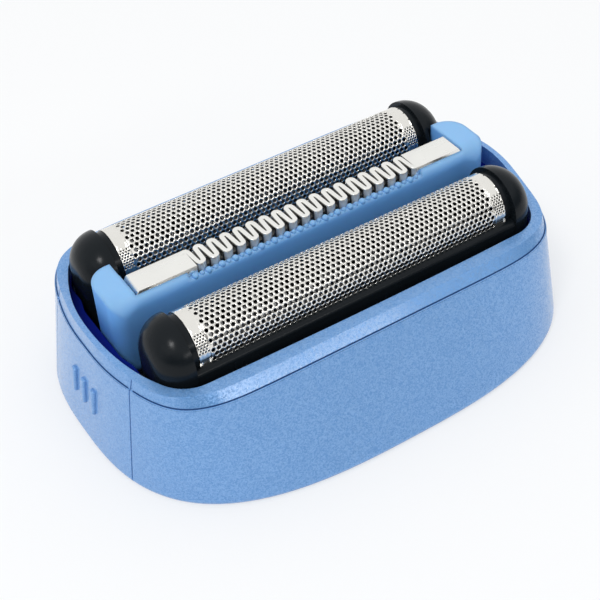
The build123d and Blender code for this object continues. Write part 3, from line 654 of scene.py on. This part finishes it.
def painted_facet_shadow(tree):
    """A thin dark strip round the housing, a painted shadow line where the leaning facet stands on the
    wall.
    """
    low_z = SHADOW_LINE_HEIGHT - SHADOW_LINE_RISE / 3
    high_z = SHADOW_LINE_HEIGHT + SHADOW_LINE_RISE
    inner_z = SHADOW_LINE_HEIGHT + SHADOW_LINE_RISE / 2
    form = bmesh.new()
    rings = []
    for step in range(SHADOW_LINE_STEPS):
        turn = 2 * pi * step / SHADOW_LINE_STEPS
        out = Vector((cos(turn), sin(turn), 0))
        reaches = []
        for z in (low_z, high_z):
            spot, _, _, _ = tree.ray_cast(out * FAR_OUT + Vector((0, 0, z)), -out)
            reaches.append(spot.xy.length)
        wall, facet = reaches
        corners = (
            (wall + SHADOW_LINE_OUT, low_z),
            (facet + SHADOW_LINE_OUT, high_z),
            (facet - SHADOW_LINE_SUNK, inner_z),
            (wall - SHADOW_LINE_SUNK, low_z),
        )
        rings.append([out * reach + Vector((0, 0, z)) for reach, z in corners])
    solid_through(form, rings, endless=True)
    bmesh.ops.recalc_face_normals(form, faces=form.faces)
    piece = new_piece("painted_facet_shadow", flat_mesh_from(form, "painted_facet_shadow"), "housing_blue", "housing")
    # The strip's dark blue is painted shade, not the lacquer's own colour.
    piece.data.materials[0] = painted_shadow_blue


def end_bars(tree):
    """Three small plain raised bars on each end of the housing."""
    form = bmesh.new()
    for side in (-1, 1):
        for y in BAR_SPOTS:
            start = Vector((side * FAR_OUT, y, BAR_HEIGHT))
            spot, normal, _, _ = tree.ray_cast(start, Vector((-side, 0, 0)))
            across = Vector((0, 0, 1)).cross(normal).normalized()
            along = normal.cross(across)
            turn = Matrix((across, along, normal)).transposed().to_4x4()
            place = Matrix.Translation(spot - normal * BAR_SUNK) @ turn
            made = bmesh.ops.create_cube(form, size=1.0, matrix=place @ Matrix.Diagonal((*BAR_SIZE, 1)))
            edges = list({edge for vertex in made["verts"] for edge in vertex.link_edges})
            rounding = {"offset": BAR_EDGE, "segments": BAR_EDGE_STEPS, "profile": 0.5}
            bmesh.ops.bevel(form, geom=edges, affect="EDGES", **rounding)
    new_piece("end_bars", mesh_from(form, "end_bars"), "housing_blue", "housing")


def lay_floor():
    """A plain pale floor: it lights the object as white paper does, and its shadow looks faint."""
    mesh = bpy.data.meshes.new("floor")
    corners = [(x * FLOOR_HALF, y * FLOOR_HALF, 0) for x, y in ((-1, -1), (1, -1), (1, 1), (-1, 1))]
    mesh.from_pydata(corners, [], [(0, 1, 2, 3)])
    floor = bpy.data.objects.new("floor", mesh)
    bpy.context.scene.collection.objects.link(floor)
    gloss = {"Base Color": FLOOR_COLOUR, "Roughness": 0.9, "Specular IOR Level": 0.1}
    material, tree, shader = new_finish("pale_floor", gloss)
    glow = add_node(tree, "ShaderNodeEmission", {"Color": PAPER_WHITE, "Strength": 1.0})
    path = add_node(tree, "ShaderNodeLightPath")
    share = add_node(tree, "ShaderNodeMath", operation="MULTIPLY")
    share.inputs[1].default_value = PAPER_SHARE
    mix = add_node(tree, "ShaderNodeMixShader")
    mirrored = add_node(tree, "ShaderNodeMath", operation="MAXIMUM")
    shown = add_node(tree, "ShaderNodeMath", operation="MAXIMUM")
    tree.links.new(path.outputs["Is Glossy Ray"], mirrored.inputs[0])
    tree.links.new(path.outputs["Is Transmission Ray"], mirrored.inputs[1])
    tree.links.new(path.outputs["Is Camera Ray"], shown.inputs[0])
    tree.links.new(mirrored.outputs["Value"], shown.inputs[1])
    tree.links.new(shown.outputs["Value"], share.inputs[0])
    tree.links.new(share.outputs["Value"], mix.inputs["Fac"])
    tree.links.new(shader.outputs["BSDF"], mix.inputs[1])
    tree.links.new(glow.outputs["Emission"], mix.inputs[2])
    tree.links.new(mix.outputs["Shader"], tree.nodes["Material Output"].inputs["Surface"])
    mesh.materials.append(material)


def light_studio():
    """Light from above and behind, a darker room low in front, and lamps; the camera sees a white sky."""
    world = bpy.data.worlds.new("studio")
    bpy.context.scene.world = world
    world.use_nodes = True
    tree = world.node_tree
    sky = tree.nodes["Background"]
    sky.inputs["Color"].default_value = SKY_COLOUR
    place = add_node(tree, "ShaderNodeTexCoord")
    split = add_node(tree, "ShaderNodeSeparateXYZ")
    high = add_node(tree, "ShaderNodeMapRange", interpolation_type="SMOOTHSTEP")
    high.inputs["From Min"].default_value, high.inputs["From Max"].default_value = SKY_BRIGHT_ABOVE
    rear = add_node(tree, "ShaderNodeMapRange", interpolation_type="SMOOTHSTEP")
    rear.inputs["From Min"].default_value, rear.inputs["From Max"].default_value = SKY_BRIGHT_BEHIND
    brighter = add_node(tree, "ShaderNodeMath", operation="MAXIMUM")
    level = add_node(tree, "ShaderNodeMapRange")
    level.inputs["To Min"].default_value, level.inputs["To Max"].default_value = SKY_LEVELS
    tree.links.new(place.outputs["Generated"], split.inputs["Vector"])
    tree.links.new(split.outputs["Z"], high.inputs["Value"])
    tree.links.new(split.outputs["Y"], rear.inputs["Value"])
    tree.links.new(high.outputs["Result"], brighter.inputs[0])
    tree.links.new(rear.outputs["Result"], brighter.inputs[1])
    tree.links.new(brighter.outputs["Value"], level.inputs["Value"])
    path = add_node(tree, "ShaderNodeLightPath")
    seen = add_node(tree, "ShaderNodeMath", operation="MAXIMUM")
    tree.links.new(level.outputs["Result"], seen.inputs[0])
    tree.links.new(path.outputs["Is Camera Ray"], seen.inputs[1])
    tree.links.new(seen.outputs["Value"], sky.inputs["Strength"])
    for name, (spot, size, power) in LAMPS.items():
        add_lamp(name, spot, size, power)


def add_lamp(name, place, size, power):
    """A flat soft lamp, given by its width and height, that points at the object."""
    lamp = bpy.data.lights.new(name, "AREA")
    lamp.shape = "RECTANGLE"
    lamp.size, lamp.size_y = size
    lamp.energy = power
    holder = bpy.data.objects.new(name, lamp)
    holder.location = place
    holder.rotation_euler = (-Vector(place)).to_track_quat("-Z", "Y").to_euler()
    bpy.context.scene.collection.objects.link(holder)


def set_camera():
    """The photograph's camera."""
    back = Vector((
        sin(CAMERA_AZIMUTH) * cos(CAMERA_ELEVATION),
        -cos(CAMERA_AZIMUTH) * cos(CAMERA_ELEVATION),
        sin(CAMERA_ELEVATION),
    ))
    level = Vector((cos(CAMERA_AZIMUTH), sin(CAMERA_AZIMUTH), 0))
    rise = back.cross(level)
    right = level * cos(CAMERA_ROLL) + rise * sin(CAMERA_ROLL)
    up = rise * cos(CAMERA_ROLL) - level * sin(CAMERA_ROLL)
    lens = bpy.data.cameras.new("camera")
    lens.lens = CAMERA_LENS
    lens.sensor_width = CAMERA_SENSOR
    lens.clip_start, lens.clip_end = CAMERA_CLIP
    camera = bpy.data.objects.new("camera", lens)
    turn = Matrix((right, up, back)).transposed().to_4x4()
    camera.matrix_world = Matrix.Translation(CAMERA_AIM + back * CAMERA_DISTANCE) @ turn
    bpy.context.scene.collection.objects.link(camera)
    bpy.context.scene.camera = camera


dress_cad_nodes()
fine_foil("front_foil", "front_foil_unit")
fine_foil("rear_foil", "rear_foil_unit")
fine_comb()
carrier_bumps()
sprung_coils()
shell_surface = housing_surface()
inner_ledge(shell_surface)
painted_facet_shadow(shell_surface)
end_bars(shell_surface)
lay_floor()
light_studio()
set_camera()
bpy.context.scene.view_settings.view_transform = "Standard"
